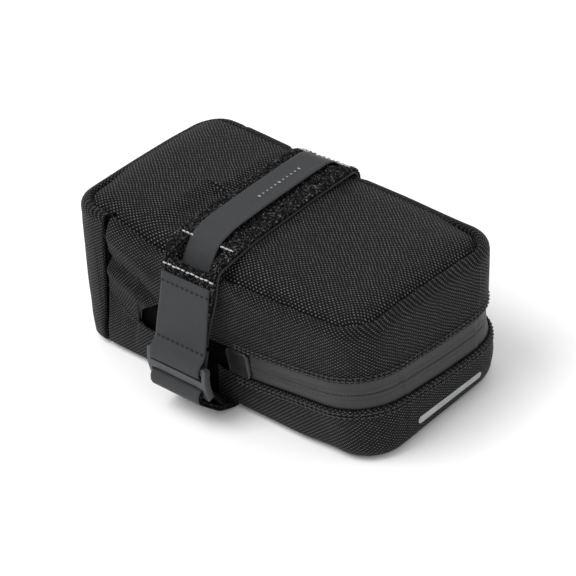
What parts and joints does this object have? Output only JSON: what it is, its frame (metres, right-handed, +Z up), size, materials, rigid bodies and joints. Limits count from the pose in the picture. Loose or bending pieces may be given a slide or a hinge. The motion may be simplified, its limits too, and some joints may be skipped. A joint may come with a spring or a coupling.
{
  "type": "saddle bag",
  "caption": "Boxy bicycle saddle bag in coarse woven fabric, zipped round its rear end, with a rail band and a webbing strap drawn tight by a slide buckle.",
  "frame": {"origin": "middle of the base, on the plane the bag rests on", "axes": "+X towards the zipped rear end, +Y towards the far side (away from the buckle), +Z up"},
  "size_m": [0.1664, 0.1073, 0.0761],
  "materials": {
    "body_weave": "matt coarse plain weave, charcoal black",
    "lining_weave": "matt smooth grey lining cloth",
    "piping": "matt black bound piping",
    "zip_tape": "satin coated water-resistant tape",
    "zip_coil": "black nylon coil",
    "garage_rubber": "satin black rubber",
    "loop_pile": "black looped pile with fuzzy edges",
    "band_cloth": "smooth satin grey tape",
    "webbing": "fine dark grey webbing",
    "thread_pale": "pale grey thread",
    "thread_dark": "black thread",
    "buckle_plastic": "fine-grained dark grey acetal",
    "slider_metal": "satin black paint on zinc",
    "board": "black polyethylene board",
    "mesh": "open black mesh",
    "elastic": "black ribbed elastic",
    "reflective": "silver reflective print"
  },
  "bodies": {
    "bag": {"top_panel_front": "body_weave", "base_panel": "body_weave", "front_panel": "body_weave", "piping_near": "piping", "piping_far": "piping", "reflective_mark": "reflective", "lower_side_wall": "body_weave", "upper_side_wall_near": "body_weave", "upper_side_wall_far": "body_weave", "base_seam_binding": "lining_weave", "top_seam_binding_front": "lining_weave", "base_stiffener": "board", "top_stiffener_front": "board", "inner_pocket": "mesh", "pocket_elastic": "elastic", "zip_tape_lower": "zip_tape", "zip_coil_lower": "zip_coil", "zip_end_patch_near": "zip_tape", "zip_end_patch_far": "zip_tape", "zip_garage_near": "garage_rubber", "zip_garage_far": "garage_rubber", "strap_wing": "loop_pile", "rail_band": "band_cloth", "strap_facing": "band_cloth", "strap_inner_layer": "webbing", "strap_outer_layer": "webbing", "wing_stitches": "thread_pale", "facing_stitches": "thread_dark"},
    "lid": {"top_panel_rear": "body_weave", "upper_side_wall_rear": "body_weave", "zip_tape_upper": "zip_tape", "zip_coil_upper": "zip_coil", "top_seam_binding_rear": "lining_weave", "top_stiffener_rear": "board"},
    "slider": {"zip_slider": "slider_metal"},
    "pull": {"pull_link": "slider_metal", "pull_grip": "garage_rubber"},
    "buckle": {"buckle_ring": "buckle_plastic", "strap_roll": "webbing"},
    "free_end": {"strap_free_end": "webbing"}
  },
  "joints": [
    {"name": "lid_open", "type": "hinge", "parent": "bag", "child": "lid", "pos_m": [0.014, 0, 0.07083], "axis": [0, -1, 0], "range_deg": [0, 55]},
    {"name": "slider_travel", "type": "slide", "parent": "bag", "child": "slider", "axis": [0.9983, 0.002, 0.0575], "range_m": [0, 0.03]},
    {"name": "pull_swing", "type": "hinge", "parent": "slider", "child": "pull", "pos_m": [0.024, 0.04375, 0.02752], "axis": [-0.0576, 0.0344, 0.9978], "range_deg": [0, 120]},
    {"name": "buckle_swing", "type": "hinge", "parent": "bag", "child": "buckle", "pos_m": [-0.0093, -0.05678, 0.02775], "axis": [-1, 0, 0], "range_deg": [0, 12]},
    {"name": "free_end_peel", "type": "hinge", "parent": "bag", "child": "free_end", "pos_m": [-0.0093, 0.04355, 0.01435], "axis": [-1, 0, 0], "range_deg": [0, 100]}
  ]
}
